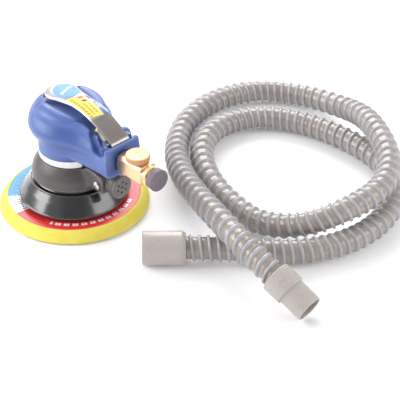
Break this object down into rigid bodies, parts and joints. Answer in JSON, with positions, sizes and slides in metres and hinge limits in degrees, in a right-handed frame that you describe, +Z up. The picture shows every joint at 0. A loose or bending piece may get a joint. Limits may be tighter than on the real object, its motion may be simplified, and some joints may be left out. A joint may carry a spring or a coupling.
{
  "type": "pneumatic random-orbit palm sander",
  "caption": "Air-driven palm sander with a round foam pad on an orbiting spindle, a press lever, an air inlet with a flow knob, a side exhaust and a loose ribbed dust hose.",
  "frame": {"origin": "the point of the pad's flat bottom face on the air motor's axis", "axes": "+Z up along the motor axis; +X from the motor axis towards the tail, where the air inlet and the exhaust are"},
  "size_m": [0.3697, 0.3923, 0.1278],
  "materials": {
    "grip_rubber": "satin moulded rubber, blue",
    "housing_metal": "turned and clear coated",
    "hard_steel": "ground",
    "plate_steel": "machined",
    "bearing_steel": "polished",
    "zinc_steel": "zinc plated",
    "rotor_alloy": "machined",
    "vane_fibre": "phenolic fibre",
    "screen_mesh": "pierced sheet",
    "brass": "machined, slightly dulled",
    "valve_brass": "turned",
    "seal_rubber": "black nitrile",
    "skirt_gloss": "glossy black",
    "cup_plastic": "moulded, dark grey",
    "muffler_plastic": "moulded black",
    "felt": "felt",
    "hook_fabric": "hook and loop",
    "foam": "closed-cell foam, yellow",
    "plate_plastic": "glass-filled",
    "pad_print": "printed film in red, white and sky blue",
    "lever_steel": "brushed stainless sheet",
    "badge_blue": "light blue, domed",
    "label_yellow": "yellow film",
    "stripe_blue": "blue film",
    "knob_brass": "machined, slightly dulled",
    "cap_black": "soft black",
    "hose_grey": "warm light grey wall with a paler spiral rib",
    "cuff_grey": "smooth light grey"
  },
  "bodies": {
    "housing": {"grip_shell": "grip_rubber", "motor_housing": "housing_metal", "cylinder": "hard_steel", "dowel_pins": "zinc_steel", "lower_end_plate": "plate_steel", "upper_end_plate": "plate_steel", "lock_ring": "plate_steel", "wave_washer": "zinc_steel", "lower_bearing_outer_ring": "bearing_steel", "upper_bearing_outer_ring": "bearing_steel", "inlet_bushing": "zinc_steel", "inlet_screen": "screen_mesh", "regulator_body": "brass", "inlet_nipple": "brass", "valve_seat": "brass", "valve_bush": "valve_brass", "valve_spring": "zinc_steel", "lever_pin": "zinc_steel", "skirt": "skirt_gloss", "shroud_cup": "cup_plastic", "exhaust_screws": "zinc_steel", "exhaust_collar": "muffler_plastic", "muffler_body": "muffler_plastic", "muffler_felt": "felt", "muffler_cap": "muffler_plastic"},
    "rotor": {"balancer_shaft": "hard_steel", "bearing_circlip": "zinc_steel", "rotor_key": "hard_steel", "rotor": "rotor_alloy", "rotor_vanes": "vane_fibre", "lower_bearing_inner_ring": "bearing_steel", "upper_bearing_inner_ring": "bearing_steel", "spindle_bearing_outer_ring": "bearing_steel"},
    "pad": {"hook_face": "hook_fabric", "pad_foam": "foam", "backing_plate": "plate_plastic", "label_disc": "pad_print", "pad_stud": "zinc_steel", "pad_washer": "zinc_steel", "pad_spindle": "hard_steel", "spindle_screw": "zinc_steel", "spindle_bearing_inner_ring": "bearing_steel"},
    "lower_balls": {"lower_bearing_balls": "bearing_steel"},
    "upper_balls": {"upper_bearing_balls": "bearing_steel"},
    "spindle_balls": {"spindle_bearing_balls": "bearing_steel"},
    "lever": {"throttle_lever": "lever_steel", "lever_badge": "badge_blue", "lever_label": "label_yellow", "lever_stripe": "stripe_blue"},
    "valve": {"valve_stem": "valve_brass", "valve_washer": "seal_rubber"},
    "knob": {"regulator_knob": "knob_brass", "regulator_spool": "valve_brass", "spool_o_ring": "seal_rubber"},
    "cap": {"inlet_cap": "cap_black"},
    "hose": {"hose_tube": "hose_grey", "hose_cuff_large": "cuff_grey", "hose_cuff_small": "cuff_grey"}
  },
  "joints": [
    {"name": "rotor_spin", "type": "hinge", "parent": "housing", "child": "rotor", "pos_m": [0, 0, 0], "axis": [0, 0, 1], "continuous": true},
    {"name": "pad_spin", "type": "hinge", "parent": "rotor", "child": "pad", "pos_m": [-0.00197, 0.00154, 0], "axis": [0, 0, 1], "continuous": true},
    {"name": "lower_balls_spin", "type": "hinge", "parent": "housing", "child": "lower_balls", "pos_m": [0, 0, 0.0618], "axis": [0, 0, 1], "continuous": true},
    {"name": "upper_balls_spin", "type": "hinge", "parent": "housing", "child": "upper_balls", "pos_m": [0, 0, 0.1022], "axis": [0, 0, 1], "continuous": true},
    {"name": "spindle_balls_spin", "type": "hinge", "parent": "rotor", "child": "spindle_balls", "pos_m": [-0.00197, 0.00154, 0.0325], "axis": [0, 0, 1], "continuous": true},
    {"name": "lever_press", "type": "hinge", "parent": "housing", "child": "lever", "pos_m": [0.0684, 0, 0.1046], "axis": [0, -1, 0], "range_deg": [0, 3], "stiffness_Nm_per_rad": 6, "springref_deg": -5.73},
    {"name": "valve_push", "type": "slide", "parent": "housing", "child": "valve", "axis": [0, 0, -1], "range_m": [0, 0.001], "deforming": ["valve_spring"]},
    {"name": "regulator_turn", "type": "hinge", "parent": "housing", "child": "knob", "pos_m": [0.0975, 0, 0.1], "axis": [0, 0, 1], "range_deg": [0, 180]},
    {"name": "cap_pull", "type": "slide", "parent": "housing", "child": "cap", "axis": [1, 0, 0], "range_m": [0, 0.03]},
    {"name": "hose_lay", "type": "slide", "parent": "housing", "child": "hose", "axis": [1, 0, 0], "range_m": [0, 0.15]}
  ],
  "couplings": [
    {"joint": "lower_balls_spin", "follows": "rotor_spin", "ratio": 0.4},
    {"joint": "upper_balls_spin", "follows": "rotor_spin", "ratio": 0.391},
    {"joint": "spindle_balls_spin", "follows": "pad_spin", "ratio": 0.4},
    {"joint": "valve_push", "follows": "lever_press", "m_per_rad": 0.0184}
  ]
}
